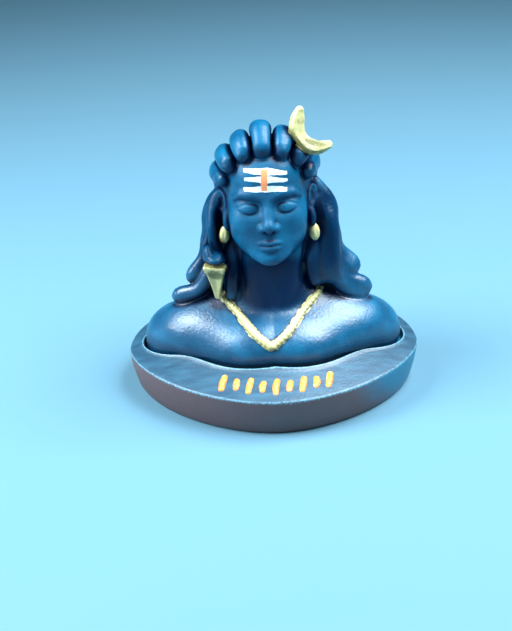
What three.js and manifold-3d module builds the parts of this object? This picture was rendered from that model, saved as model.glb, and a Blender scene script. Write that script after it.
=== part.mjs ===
// A small cast bust of Shiva: head and shoulders with long locks of hair, a crescent in the hair,
// earrings, a cobra and its V-shaped coil on the chest, all in one piece with a boat-shaped plinth.
// Millimetres. +Z is up, the face looks towards -Y, and the origin is the middle of the plinth's underside.

import * as THREE from "three";
import { mergeVertices } from "three/addons/utils/BufferGeometryUtils.js";
import Module from "manifold-3d";

const wasm = await Module();
wasm.setup();

// Plinth
const PLINTH_LENGTH = 100;
const PLINTH_DEPTH = 77;
const RIM_HEIGHT = 13.5; // underside to the sharp outer edge of the top
const WALL_LEAN = 2.6; // how far the foot stands in from the rim
const WALL_SWELL = 0.5; // how far the wall bulges at half its height
const BAND_RISE = 11; // the top's rise from the rim, if it ran on to the middle
const GROOVE_WIDTH = 1.1; // the groove that parts the plinth's top from the chest

// Figure. From the rim's level to the crescent's tip it is PART_COUNT parts high.
// Its forms are laid out in these parts.
const FIGURE_HEIGHT = 86.2;
const PART_COUNT = 86.2;
const FACE_ANGLE = 8; // degrees that the face is raised
const LEAN_ANGLE = 2; // degrees that the head leans to the figure's right
const CRESCENT_THICKNESS = 3.6;
const COIL_RADIUS = 1.5;

// Inscription place: a row of plain raised strokes
const STROKE_COUNT = 9;
const STROKE_PITCH = 4.3;
const STROKE_WIDTH = 1.7;
const STROKE_LENGTHS = [7, 5]; // the long and the short strokes take turns
const STROKE_RELIEF = 0.5;

const BLUE = 0x1c5a86;
const unit = FIGURE_HEIGHT / PART_COUNT;
const radians = THREE.MathUtils.degToRad;
const lerp = THREE.MathUtils.lerp;
const point = (x, y, z) => new THREE.Vector3(x, y, z);

// A closed geometry as a solid.
function solidOf(geometry) {
  const bare = geometry.clone();
  for (const name of Object.keys(bare.attributes)) {
    if (name !== "position") bare.deleteAttribute(name);
  }
  const merged = mergeVertices(bare, 1e-4);
  return new wasm.Manifold(
    new wasm.Mesh({
      numProp: 3,
      vertProperties: new Float32Array(merged.attributes.position.array),
      triVerts: new Uint32Array(merged.index.array),
    }),
  );
}

function geometryOf(solid) {
  const mesh = solid.getMesh();
  const geometry = new THREE.BufferGeometry();
  geometry.setAttribute("position", new THREE.BufferAttribute(new Float32Array(mesh.vertProperties), 3));
  geometry.setIndex(new THREE.BufferAttribute(new Uint32Array(mesh.triVerts), 1));
  geometry.computeVertexNormals();
  return geometry;
}

const joined = (solids) => solids.reduce((whole, part) => whole.add(part));
const placed = (solids, matrix) => solids.map((solid) => solid.transform(matrix.toArray()));

// Free forms. A form is a function of a point that is negative inside it.
function ellipsoid(centre, radii) {
  return (p) => {
    const x = (p.x - centre.x) / radii.x;
    const y = (p.y - centre.y) / radii.y;
    const z = (p.z - centre.z) / radii.z;
    const reach = Math.hypot(x, y, z);
    const slope = Math.hypot(x / radii.x, y / radii.y, z / radii.z);
    return slope > 0 ? (reach * (reach - 1)) / slope : -Math.min(radii.x, radii.y, radii.z);
  };
}

// A rod from one point to another whose radius changes evenly.
function taperedRod(from, to, startRadius, endRadius) {
  const axis = to.clone().sub(from);
  return (p) => {
    const along = THREE.MathUtils.clamp(p.clone().sub(from).dot(axis) / axis.lengthSq(), 0, 1);
    const nearest = from.clone().addScaledVector(axis, along);
    return p.distanceTo(nearest) - lerp(startRadius, endRadius, along);
  };
}

const mirrored = (form) => (p) => form(point(Math.abs(p.x), p.y, p.z));

function softMin(a, b, softness) {
  const overlap = Math.max(softness - Math.abs(a - b), 0) / softness;
  return Math.min(a, b) - (overlap * overlap * softness) / 4;
}

function fused(softness, ...forms) {
  return (p) => forms.map((form) => form(p)).reduce((a, b) => softMin(a, b, softness));
}

const hollowed = (softness, form, dent) => (p) => -softMin(-form(p), dent(p), softness);

// The skin of a form that is seen whole from its centre: a sphere whose points are drawn in to the surface.
// reach is the half size of a box round the form, crowd gathers the columns towards the front, and level
// is how far outside the form the skin runs.
function skinOf(form, centre, reach, columns, rows, crowd = 0, level = 0) {
  const STEPS = 60;
  const skin = new THREE.SphereGeometry(1, columns, rows);
  skin.rotateX(Math.PI / 2);
  const places = skin.attributes.position;
  const p = point(0, 0, 0);
  for (let i = 0; i < places.count; i++) {
    p.fromBufferAttribute(places, i);
    const flat = Math.hypot(p.x, p.y);
    const turn = Math.atan2(p.x, -p.y);
    const crowded = turn - crowd * Math.sin(turn);
    const ray = point(Math.sin(crowded) * flat, -Math.cos(crowded) * flat, p.z).multiply(reach);
    let share = 1.6;
    for (let step = 0; step < STEPS; step++) {
      const gap = form(p.copy(centre).addScaledVector(ray, share)) - level;
      share -= (0.7 * gap) / ray.length();
    }
    places.setXYZ(i, p.x, p.y, p.z);
  }
  return skin;
}

// A lock, round in section: a sphere drawn out along a curve.
// girthAt gives its radius for a share of its length.
function lockOf(curve, girthAt, rings = 10, sides = 8) {
  const FRAMES = 60;
  const frames = curve.computeFrenetFrames(FRAMES, false);
  const lock = new THREE.SphereGeometry(1, sides, rings);
  const places = lock.attributes.position;
  const turns = lock.attributes.uv;
  for (let i = 0; i < places.count; i++) {
    const even = 1 - turns.getY(i);
    const share = lerp(even, (1 - Math.cos(Math.PI * even)) / 2, 0.5);
    const turn = 2 * Math.PI * turns.getX(i);
    const at = Math.round(share * FRAMES);
    const isEnd = even < 1e-6 || even > 1 - 1e-6;
    const radius = isEnd ? 0 : girthAt(share);
    const place = curve
      .getPointAt(at / FRAMES)
      .addScaledVector(frames.normals[at], radius * Math.cos(turn))
      .addScaledVector(frames.binormals[at], -radius * Math.sin(turn));
    places.setXYZ(i, place.x, place.y, place.z);
  }
  return lock;
}

// Girth of a lock of hair: it tapers to both ends, and its tip is rounder than its root.
function lockGirth(girth) {
  return (share) => {
    const root = Math.min(1, 0.65 + 2.2 * share);
    const tip = Math.sqrt(1 - Math.max(0, (share - 0.88) / 0.12) ** 2);
    return girth * root * tip;
  };
}

// Plinth: a boat-shaped outline, drawn in at the foot and rising from the rim towards the middle.
// It is |x / half length| ** length + |y / half depth| ** depth = 1.
// Powers under 2 make it pointed.
const FRONT_POWERS = { length: 1.8, depth: 1.6 };
const BACK_POWERS = { length: 2.3, depth: 2.1 };

// How far along the direction (c, s) the outline lies.
function outlineReach(c, s, inset) {
  const halfLength = PLINTH_LENGTH / 2 - inset;
  const halfDepth = PLINTH_DEPTH / 2 - inset;
  const powers = s < 0 ? FRONT_POWERS : BACK_POWERS;
  let low = 0;
  let high = PLINTH_LENGTH;
  for (let step = 0; step < 40; step++) {
    const middle = (low + high) / 2;
    const along = Math.abs((middle * c) / halfLength) ** powers.length;
    const across = Math.abs((middle * s) / halfDepth) ** powers.depth;
    if (along + across > 1) high = middle;
    else low = middle;
  }
  return low;
}

function plinth() {
  const SIDES = 48;
  const rings = [
    { share: 0, inset: WALL_LEAN, z: 0 },
    { share: 1, inset: WALL_LEAN, z: 0 },
    { share: 1, inset: WALL_LEAN / 2 - WALL_SWELL, z: RIM_HEIGHT / 2 },
    { share: 1, inset: 0, z: RIM_HEIGHT },
    { share: 0.7, inset: 0, z: RIM_HEIGHT + 0.3 * BAND_RISE },
    { share: 0.45, inset: 0, z: RIM_HEIGHT + 0.45 * BAND_RISE },
    { share: 0, inset: 0, z: RIM_HEIGHT + 0.45 * BAND_RISE },
  ];
  const body = new THREE.LatheGeometry(rings.map((ring) => new THREE.Vector2(ring.share, ring.z)), SIDES);
  body.rotateX(Math.PI / 2);
  const places = body.attributes.position;
  for (let i = 0; i < places.count; i++) {
    const { share, inset, z } = rings[i % rings.length];
    const flat = Math.hypot(places.getX(i), places.getY(i)) || 1;
    const c = places.getX(i) / flat;
    const s = places.getY(i) / flat;
    const reach = share * outlineReach(c, s, inset);
    places.setXYZ(i, reach * c, reach * s, z);
  }
  return solidOf(body);
}

// Chest and shoulders. Their lower part is sunk in the plinth.
const torsoForm = fused(
  7,
  ellipsoid(point(0, 2, 4), point(33, 19, 14)),
  mirrored(ellipsoid(point(28.5, 2.5, 3), point(15.8, 12.5, 13.2))),
  mirrored(ellipsoid(point(5.8, -7.4, 7.5), point(20.2, 16.1, 10))),
  mirrored(taperedRod(point(24, 5, 11), point(5, 5, 24), 4, 8)),
);
const TORSO_CENTRE = point(0, 0, 6);
const TORSO_REACH = point(46, 26, 26);

// The slope from the neck to each shoulder, under the ends of the hair.
const shoulderRidges = () =>
  [-1, 1].map((side) => {
    const line = [point(side * 31, -1, 11), point(side * 18, -0.5, 16), point(0, 0, 22)];
    return solidOf(lockOf(new THREE.CatmullRomCurve3(line), (share) => lerp(3.5, 8, share), 6, 8));
  });

const torso = (level = 0) => solidOf(skinOf(torsoForm, TORSO_CENTRE, TORSO_REACH, 36, 16, 0.15, level));

const neckForm = fused(
  5,
  taperedRod(point(0, 4, 14), point(0, 3, 26), 14, 11.4),
  taperedRod(point(0, 3, 26), point(0, 2, 44), 11.4, 11.2),
);
const bodyForm = fused(6, torsoForm, neckForm);

function neck() {
  const profile = [
    [0, 14],
    [15.5, 15],
    [13, 20],
    [11.6, 26],
    [11.2, 34],
    [11.4, 42],
    [0, 44],
  ];
  const turned = new THREE.LatheGeometry(profile.map(([r, z]) => new THREE.Vector2(r, z)), 24);
  turned.rotateX(Math.PI / 2);
  turned.translate(0, 3, 0);
  return solidOf(turned);
}

// Head, about its own centre.
const faceForm = fused(
  3,
  ellipsoid(point(0, 2.5, 4.5), point(13.4, 16, 14)),
  ellipsoid(point(0, -4, -4.5), point(12.4, 11.2, 15.5)),
  ellipsoid(point(0, -5, 8), point(11.3, 10.3, 8.8)),
  ellipsoid(point(0, -3.5, -11), point(11.9, 10.5, 9.6)),
  ellipsoid(point(0, -10.4, -17.1), point(6, 4.2, 3.6)),
  mirrored(ellipsoid(point(7, -8.6, -5.6), point(4.6, 4.8, 4.4))),
);
const sockets = mirrored(ellipsoid(point(4.9, -16.6, -1.2), point(3.9, 3.3, 2.6)));
const features = fused(
  0.9,
  mirrored(ellipsoid(point(5.5, -10.3, -2), point(4.1, 4.1, 3.8))),
  mirrored(ellipsoid(point(5.6, -13, 2.6), point(4.6, 1.9, 1))),
  taperedRod(point(0, -13.3, 2.2), point(0, -16.6, -6.8), 1.1, 1.6),
  mirrored(ellipsoid(point(2.1, -15.2, -7.9), point(1.2, 1.7, 1.25))),
  ellipsoid(point(0, -14.2, -13.4), point(4, 2.2, 2.2)),
  ellipsoid(point(0, -12.6, -18.4), point(3, 2.6, 2.2)),
);
const headForm = fused(1.2, hollowed(2.4, faceForm, sockets), features);

const head = () => solidOf(skinOf(headForm, point(0, -1, -0.5), point(14, 18, 19.5), 34, 26, 0.5));

function ears() {
  return [-1, 1].flatMap((side) => {
    const ear = new THREE.SphereGeometry(1, 8, 6);
    ear.scale(1.7, 3, 5.4);
    ear.rotateX(radians(-12));
    ear.rotateZ(radians(side * -30));
    ear.translate(side * 13.5, -0.8, -2.8);
    const lobe = new THREE.SphereGeometry(1, 8, 6);
    lobe.scale(1.6, 1.8, 3);
    lobe.translate(side * 13.9 + 0.4, -3.4, -8.5);
    return [solidOf(ear), solidOf(lobe)];
  });
}

function hairCap() {
  const cap = new THREE.SphereGeometry(1, 14, 9);
  cap.scale(14.8, 16.4, 13.6);
  cap.translate(0, 4.2, 4.4);
  return solidOf(cap);
}

// Locks that rise from the hairline, arch over the brow, run back over the skull and fall down the back.
const CROWN_COUNT = 7;
const CROWN_SPREAD = 78; // degrees from the middle to the last lock on each side
const CROWN_TURN = 2.5; // degrees that the whole crown is turned to the figure's right
const CROWN_WAIST = { share: 0.24, reach: 0.14, depth: 0.22 }; // where the locks are slimmer, and by how much

function crownLocks() {
  const locks = [];
  for (let i = 0; i < CROWN_COUNT; i++) {
    const share = (2 * i) / (CROWN_COUNT - 1) - 1;
    const turn = radians(CROWN_SPREAD * share - CROWN_TURN);
    const s = Math.sin(turn);
    const c = Math.cos(turn);
    const height = 3.6 + 2.8 * c - (i % 2 ? 0 : 0.7);
    const path = new THREE.CatmullRomCurve3([
      point(12.2 * s, -11 + 8 * (1 - c), 4.4 + 10.3 * c),
      point(13.9 * s, -12.6 + 8 * (1 - c), 4.6 + 12.6 * c),
      point((12.2 + 0.62 * height) * s, -7.6 + 6 * (1 - c), 4.4 + (10.8 + height) * c),
      point(15.8 * s, 4, 5 + 13.2 * c),
      point(15.6 * s, 16, 3 + 8 * c),
      point(14 * s, 19.5, -8),
      point(17 * s, 20 - 2 * Math.abs(s), -24),
      point(23 * s, 22 - 3 * Math.abs(s), -38),
      point(27 * s, 22 - 3 * Math.abs(s), -46 + 4 * (i % 2)),
    ]);
    const plain = lockGirth(3.3 + 0.4 * c);
    const girth = (along) => {
      const off = (along - CROWN_WAIST.share) / CROWN_WAIST.reach;
      return plain(along) * (1 - CROWN_WAIST.depth * Math.exp(-(off ** 2)));
    };
    locks.push(solidOf(lockOf(path, girth, 14, 7)));
  }
  return locks;
}

// Locks that hang beside the neck and turn outwards on the shoulders: each one's girth, and the
// few places that it passes from root to end.
const HANGING_LOCKS = [
  [3.3, [-14, 3, 57], [-18.3, 2, 51], [-20.4, 1, 41], [-22.6, 0, 33], [-27.3, -1, 26]],
  [3.6, [-14, 3, 50], [-17.5, 0.5, 41], [-20, -2, 31], [-24.5, -2.2, 23.2], [-32.8, -0.5, 19.2]],
  [1.9, [-16, 1, 57], [-19, -2, 51], [-19, -4.5, 43], [-17.5, -5.5, 35]],
  [3.4, [-12.3, 2, 47], [-13.2, -1.5, 38], [-13.1, -4.5, 30], [-12.6, -6.3, 21.5]],
  [3.6, [14, 3, 58], [18.2, 2.5, 51], [20.3, 2, 41], [22.8, 1, 33], [28.6, 0, 27.6]],
  [4, [15.5, 1, 53], [18.3, -0.5, 45], [20, -2, 36], [21.5, -3, 28.5], [26, -2, 23], [32.6, 0, 20]],
  [3, [14.5, 2, 49], [16.8, -1, 41], [17.8, -4, 33], [20.5, -5.2, 26.5]],
  [3.3, [12.3, 3, 47], [13.7, -1, 38], [14.6, -3.8, 31], [16.5, -4.8, 26]],
];

function hangingLocks() {
  return HANGING_LOCKS.map(([girth, ...through]) => {
    const path = new THREE.CatmullRomCurve3(through.map((place) => point(...place)));
    return solidOf(lockOf(path, lockGirth(girth), 8, 7));
  });
}

// The hair between the hanging locks and the neck.
function hairMass() {
  const mass = new THREE.SphereGeometry(1, 14, 9);
  mass.scale(18.5, 8.5, 27);
  mass.rotateX(radians(-4));
  mass.translate(0, 11.5, 36);
  return solidOf(mass);
}

// Crescent: a curved middle line with a half width at each of its places, from the upper horn to the lower.
const CRESCENT_LINE = [
  { x: -1.7, y: 9.2, half: 1.35 },
  { x: -2.4, y: 6.6, half: 2.2 },
  { x: -2.7, y: 3.8, half: 2.45 },
  { x: -1.5, y: 1, half: 2 },
  { x: 0.6, y: -1.4, half: 2.15 },
  { x: 3.1, y: -2.3, half: 2.45 },
  { x: 5.5, y: -1.95, half: 2 },
  { x: 6.9, y: -1.5, half: 1.35 },
];

const CRESCENT_SEAT = 1.8; // from the middle line back to the face that lies in the hair
const CRESCENT_TILT = 74; // degrees from lying flat

function crescent() {
  const BEVEL = 0.9 / unit;
  const CAP_STEPS = 4; // steps round each horn's end
  const line = new THREE.SplineCurve(CRESCENT_LINE.map(({ x, y }) => new THREE.Vector2(x, y)));
  const last = CRESCENT_LINE.length - 1;
  const outer = [];
  const inner = [];
  for (let i = 0; i <= last; i++) {
    const along = line.getTangent(i / last);
    const { x, y, half } = CRESCENT_LINE[i];
    outer.push(new THREE.Vector2(x + along.y * half, y - along.x * half));
    inner.unshift(new THREE.Vector2(x - along.y * half, y + along.x * half));
  }
  const cap = (at, side) => {
    const along = line.getTangent(at / last).multiplyScalar(side);
    const { x, y, half } = CRESCENT_LINE[at];
    const start = Math.atan2(-along.x, along.y);
    return Array.from({ length: CAP_STEPS - 1 }, (_, i) => {
      const turn = start + (Math.PI * (i + 1)) / CAP_STEPS;
      return new THREE.Vector2(x + half * Math.cos(turn), y + half * Math.sin(turn));
    });
  };
  const outline = new THREE.Shape([...outer, ...cap(last, 1), ...inner, ...cap(0, -1)]);
  const depth = CRESCENT_THICKNESS / unit - 2 * BEVEL;
  const moon = new THREE.ExtrudeGeometry(outline, {
    depth,
    bevelThickness: BEVEL,
    bevelSize: BEVEL,
    bevelOffset: -BEVEL,
    bevelSegments: 1,
  });
  moon.translate(0, 0, BEVEL - CRESCENT_SEAT);
  moon.rotateX(radians(CRESCENT_TILT));
  moon.translate(11.4, -8, 75.9);
  return solidOf(moon);
}

// The chest's front, looking back along +Y at one place.
function chestFront(x, z) {
  const NEAR = -45;
  const FAR = 10;
  let y = NEAR;
  while (y < FAR && bodyForm(point(x, y, z)) > 0) y += Math.max(0.05, 0.5 * bodyForm(point(x, y, z)));
  return y;
}

// Necklace: the cobra's body, which lies in a V on the chest and runs up under the hair on both sides.
const coilPath = { middle: -1, bottom: 11.1, top: 23, halfWidth: 17.4 };

function coil() {
  const HALF_STEPS = 7;
  const radius = COIL_RADIUS / unit;
  const through = [];
  for (let i = -HALF_STEPS; i <= HALF_STEPS; i++) {
    const share = i / HALF_STEPS;
    const x = coilPath.middle + coilPath.halfWidth * share;
    const z = lerp(coilPath.bottom, coilPath.top, Math.abs(share) ** 1.08);
    through.push(point(x, chestFront(x, z) - radius / 2, z));
  }
  return solidOf(lockOf(new THREE.CatmullRomCurve3(through), () => radius, 20, 6));
}

// Cobra: a flat hood at the side of the neck with a small head over it.
function cobra() {
  const half = new THREE.Shape();
  half.moveTo(-1.3, -12.3);
  half.quadraticCurveTo(-2, -5, -4, -1.6);
  half.quadraticCurveTo(-4.6, 0.2, -3.4, 0.5);
  half.lineTo(3.4, 0.5);
  half.quadraticCurveTo(4.6, 0.2, 4, -1.6);
  half.quadraticCurveTo(2, -5, 1.3, -12.3);
  half.closePath();
  const hood = new THREE.ExtrudeGeometry(half, {
    depth: 1.6,
    bevelThickness: 0.6,
    bevelSize: 0.6,
    bevelOffset: -0.6,
    bevelSegments: 1,
    curveSegments: 3,
  });
  hood.rotateX(radians(90 + 12));
  hood.rotateZ(radians(-14));
  hood.translate(-18.6, -9, 34.9);
  const crest = new THREE.SphereGeometry(1, 8, 6);
  crest.scale(3.8, 3.8, 3.4);
  crest.translate(-18.6, -9, 37.7);
  return [solidOf(hood), solidOf(crest)];
}

function earrings() {
  return [-1, 1].map((side) => {
    const drop = new THREE.SphereGeometry(1, 8, 6);
    drop.scale(2.1, 1.9, 3.1);
    drop.translate(side * 14.6 - 0.5, -4.9, 44);
    return solidOf(drop);
  });
}

// Strokes in the place of the inscription, standing on the plinth's sloping top in front of the chest.
function strokes() {
  const FRONT = 31; // about how far the row is in front of the plinth's middle
  const ROW = 0.83; // the row's place, as a share of the way from the middle to the rim
  const SUNK = 0.5;
  const slope = Math.atan2(BAND_RISE, PLINTH_DEPTH / 2);
  const bars = [];
  for (let i = 0; i < STROKE_COUNT; i++) {
    const x = (i - (STROKE_COUNT - 1) / 2) * STROKE_PITCH;
    const far = Math.hypot(x, FRONT);
    const y = (-FRONT / far) * outlineReach(x / far, -FRONT / far, 0) * ROW;
    const bar = new THREE.BoxGeometry(STROKE_WIDTH, STROKE_LENGTHS[i % 2], 2 * (STROKE_RELIEF + SUNK));
    bar.rotateX(slope);
    bar.translate(x, y, RIM_HEIGHT + BAND_RISE * (1 - ROW) - SUNK);
    bars.push(solidOf(bar));
  }
  return bars;
}

const headPlace = new THREE.Matrix4()
  .makeTranslation(-1, -1, 56.5)
  .multiply(new THREE.Matrix4().makeRotationY(radians(-LEAN_ANGLE)))
  .multiply(new THREE.Matrix4().makeRotationX(radians(-FACE_ANGLE)));

const figurePlace = new THREE.Matrix4()
  .makeTranslation(0, 0, RIM_HEIGHT)
  .multiply(new THREE.Matrix4().makeScale(unit, unit, unit));

const headParts = placed([head(), ...ears(), hairCap(), ...crownLocks()], headPlace);
const figureParts = [
  torso(),
  ...shoulderRidges(),
  neck(),
  ...headParts,
  ...hangingLocks(),
  hairMass(),
  crescent(),
  coil(),
  ...cobra(),
  ...earrings(),
];
const figure = joined(placed(figureParts, figurePlace));
const [moat] = placed([torso(GROOVE_WIDTH)], figurePlace);
const base = joined([plinth(), ...strokes()]).subtract(moat);

// The chest and the plinth meet below the groove.
const SEAT_LENGTH = 0.82 * PLINTH_LENGTH;
const SEAT_DEPTH = 0.57 * PLINTH_DEPTH;
const SEAT_TOP = 1.04 * RIM_HEIGHT;
const seat = new THREE.CylinderGeometry(0.5, 0.5, SEAT_TOP, 40);
seat.rotateX(Math.PI / 2);
seat.scale(SEAT_LENGTH, SEAT_DEPTH, 1);
seat.translate(0, 0, SEAT_TOP / 2);
const whole = joined([base, solidOf(seat), figure]);

const paint = new THREE.MeshStandardMaterial({ color: BLUE, roughness: 0.35, metalness: 0 });
const bust = new THREE.Mesh(geometryOf(whole), paint);
bust.name = "shiva_bust";

const model = new THREE.Group();
model.add(bust);

export default model;
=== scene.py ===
import math

import bpy
import numpy as np
import openvdb
from mathutils import Matrix, Vector


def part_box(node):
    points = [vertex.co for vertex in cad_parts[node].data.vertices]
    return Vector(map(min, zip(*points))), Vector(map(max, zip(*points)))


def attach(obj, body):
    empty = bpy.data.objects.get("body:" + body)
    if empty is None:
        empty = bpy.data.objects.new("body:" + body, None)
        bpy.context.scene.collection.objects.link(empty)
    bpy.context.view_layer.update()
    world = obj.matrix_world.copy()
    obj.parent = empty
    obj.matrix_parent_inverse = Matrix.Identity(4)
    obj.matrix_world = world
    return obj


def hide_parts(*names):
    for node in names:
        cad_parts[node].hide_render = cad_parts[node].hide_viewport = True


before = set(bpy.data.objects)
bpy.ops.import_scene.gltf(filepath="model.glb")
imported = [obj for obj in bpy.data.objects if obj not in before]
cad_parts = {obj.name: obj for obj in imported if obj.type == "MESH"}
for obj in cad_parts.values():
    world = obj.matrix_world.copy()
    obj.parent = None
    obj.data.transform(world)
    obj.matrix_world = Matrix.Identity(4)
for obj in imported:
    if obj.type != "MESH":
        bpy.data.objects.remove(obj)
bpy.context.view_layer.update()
NODE = "shiva_bust"
node_low, node_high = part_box(NODE)
UNIT = (node_high[0] - node_low[0]) / 100  # metres in a hundredth of the plinth's length
RIM = 13.5  # height of the plinth's outer edge, where the figure's own heights start

# Fineness
FIGURE_CELL = 0.25
TRIM_CELL = 0.18
FIGURE_TRIANGLES, TRIM_TRIANGLES, STROKE_TRIANGLES = 130000, 9000, 5000
FAR = 6.0  # distances are cut off here
BLOCK = 8  # cells along one side of a block
MARGIN = 1.2  # how far past its corners a block still counts as near the surface
CURVE_STEPS = 24  # places worked out between two given places of a curve
HALVINGS = 40  # steps of a search that halves a stretch each time


# Forms. A form takes the coordinates of many places and gives their distances, negative inside.
def ellipsoid(centre, radii):
    def form(x, y, z):
        u = (x - centre[0]) / radii[0]
        v = (y - centre[1]) / radii[1]
        w = (z - centre[2]) / radii[2]
        reach = np.sqrt(u * u + v * v + w * w)
        slope = np.sqrt((u / radii[0]) ** 2 + (v / radii[1]) ** 2 + (w / radii[2]) ** 2)
        return np.where(slope > 1e-4, reach * (reach - 1) / np.maximum(slope, 1e-4), -min(radii))

    return form


def rods(places, girths):
    """A chain of rods through these places, whose girth changes evenly from one to the next."""
    places = np.asarray(places, "f4")
    girths = np.broadcast_to(np.asarray(girths, "f4"), len(places))

    def form(x, y, z):
        nearest = None
        for a, b, start, end in zip(places[:-1], places[1:], girths[:-1], girths[1:]):
            d = b - a
            px, py, pz = x - a[0], y - a[1], z - a[2]
            t = np.clip((px * d[0] + py * d[1] + pz * d[2]) / max(float(d @ d), 1e-9), 0, 1)
            gap = np.sqrt((px - d[0] * t) ** 2 + (py - d[1] * t) ** 2 + (pz - d[2] * t) ** 2)
            gap -= start + (end - start) * t
            nearest = gap if nearest is None else np.minimum(nearest, gap)
        return nearest

    return form


def softmin(a, b, softness):
    overlap = np.maximum(softness - np.abs(a - b), 0) / softness
    return np.minimum(a, b) - overlap * overlap * (softness / 4)


def softmax(a, b, softness):
    return -softmin(-a, -b, softness)


def fused(softness, *forms):
    def form(x, y, z):
        whole = forms[0](x, y, z)
        for part in forms[1:]:
            whole = softmin(whole, part(x, y, z), softness)
        return whole

    return form


def hollowed(softness, solid, dent):
    return lambda x, y, z: softmax(solid(x, y, z), -dent(x, y, z), softness)


def mirrored(form):
    return lambda x, y, z: form(np.abs(x), y, z)


def moved(form, matrix):
    """The form carried by a 4 x 4 matrix that turns and moves but doesn't stretch."""
    m = np.array(matrix.inverted(), "f4")

    def carried(x, y, z):
        return form(
            m[0, 0] * x + m[0, 1] * y + m[0, 2] * z + m[0, 3],
            m[1, 0] * x + m[1, 1] * y + m[1, 2] * z + m[1, 3],
            m[2, 0] * x + m[2, 1] * y + m[2, 2] * z + m[2, 3],
        )

    return carried


def plate(flat, side, rounding):
    """A plate with rounded edges, from the distances to its outline and to its faces."""
    flat, side = flat + rounding, side + rounding
    outside = np.hypot(np.maximum(flat, 0), np.maximum(side, 0))
    return outside + np.minimum(np.maximum(flat, side), 0) - rounding


# A group is a form with the box that holds it and the softness of its join to the rest.
def group(form, low, high, softness):
    return {"chunks": [(form, np.array(low, "f4"), np.array(high, "f4"))], "softness": softness}


def strand_group(places, girths, softness, per_chunk=5):
    """A chain of rods as a group, cut in chunks so that each is only worked out near itself."""
    places = np.asarray(places, "f4")
    girths = np.broadcast_to(np.asarray(girths, "f4"), len(places))
    chunks = []
    for i in range(0, len(places) - 1, per_chunk):
        part = places[i : i + per_chunk + 1]
        girth = girths[i : i + per_chunk + 1]
        chunks.append((rods(part, girth), part.min(0) - girth.max(), part.max(0) + girth.max()))
    return {"chunks": chunks, "softness": softness}


def distances(groups, centres, offsets, half):
    """Distance at centre + offset, for every centre and offset, of the groups joined in their order."""
    whole = np.full((len(centres), len(offsets)), FAR, "f4")
    for part in groups:
        own = np.full_like(whole, FAR)
        touched = np.zeros(len(centres), bool)
        for form, low, high in part["chunks"]:
            near = ((centres > low - FAR - half) & (centres < high + FAR + half)).all(1)
            if not near.any():
                continue
            p = centres[near][:, None, :] + offsets[None]
            gap = form(p[..., 0], p[..., 1], p[..., 2]).astype("f4")
            own[near] = np.minimum(own[near], gap)
            touched |= near
        whole[touched] = softmin(whole[touched], own[touched], part["softness"])
    return whole


def surface(groups, low, high, cell):
    """Vertices and faces of the joined groups' surface, from a grid of cells that is only fine near it."""
    low = np.array(low, "f4")
    size = cell * BLOCK
    counts = np.ceil((np.array(high) - low) / size).astype(int)
    grid = np.stack(np.meshgrid(*[np.arange(n) for n in counts], indexing="ij"), -1).reshape(-1, 3)
    half = size / 2
    centres = (low + (grid + 0.5) * size).astype("f4")
    rough = distances(groups, centres, np.zeros((1, 3), "f4"), half)[:, 0]
    near = np.abs(rough) < half * math.sqrt(3) + MARGIN
    steps = np.stack(np.meshgrid(*[np.arange(BLOCK)] * 3, indexing="ij"), -1).reshape(-1, 3) * cell
    offsets = (steps - half).astype("f4")
    fine = distances(groups, centres[near], offsets, half)
    field = np.sign(rough).astype("f4")[:, None] * np.ones((1, BLOCK**3), "f4")
    field[near] = fine / cell
    volume = field.reshape(*counts, BLOCK, BLOCK, BLOCK).transpose(0, 3, 1, 4, 2, 5)
    volume = np.ascontiguousarray(volume.reshape(counts * BLOCK))
    tree = openvdb.FloatGrid(1.0)
    tree.copyFromArray(np.clip(volume, -3, 3))
    points, triangles, quads = tree.convertToPolygons(isovalue=0.0, adaptivity=0.0)
    return np.asarray(points) * cell + low, np.asarray(triangles), np.asarray(quads)


# Curves
def curve_through(places, steps):
    """A smooth curve through the places, as steps + 1 places evenly along it."""
    p = [np.array(place, float) for place in places]
    p = [2 * p[0] - p[1]] + p + [2 * p[-1] - p[-2]]
    fine = []
    for a, b, c, d in zip(p[:-3], p[1:-2], p[2:-1], p[3:]):
        t0, t1, t2 = (max(np.linalg.norm(v) ** 0.5, 1e-3) for v in (b - a, c - b, d - c))
        start = t1 * ((b - a) / t0 - (c - a) / (t0 + t1) + (c - b) / t1)
        end = t1 * ((c - b) / t1 - (d - b) / (t1 + t2) + (d - c) / t2)
        square = 3 * (c - b) - 2 * start - end
        cubic = 2 * (b - c) + start + end
        for t in np.linspace(0, 1, CURVE_STEPS, endpoint=False):
            fine.append(b + start * t + square * t**2 + cubic * t**3)
    fine = np.array(fine + [p[-2]])
    lengths = np.concatenate([[0], np.cumsum(np.linalg.norm(np.diff(fine, axis=0), axis=1))])
    even = np.linspace(0, lengths[-1], steps + 1)
    return np.stack([np.interp(even, lengths, fine[:, i]) for i in range(3)], 1)


def frames_along(curve, hint):
    """Two unit vectors across the curve at each place. The first is square to the hint."""
    along = np.gradient(curve, axis=0)
    along /= np.linalg.norm(along, axis=1, keepdims=True)
    across = np.cross(along, np.broadcast_to(hint, along.shape))
    across /= np.maximum(np.linalg.norm(across, axis=1, keepdims=True), 1e-6)
    return across, np.cross(along, across)


def lock_girth(share):
    """Girth of a lock for each share of its length, as a part of its full girth."""
    root = np.minimum(1, 0.65 + 2.2 * share)
    tip = np.sqrt(np.clip(1 - np.maximum(0, (share - 0.9) / 0.1) ** 2, 0.04, 1))
    return root * tip


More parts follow.
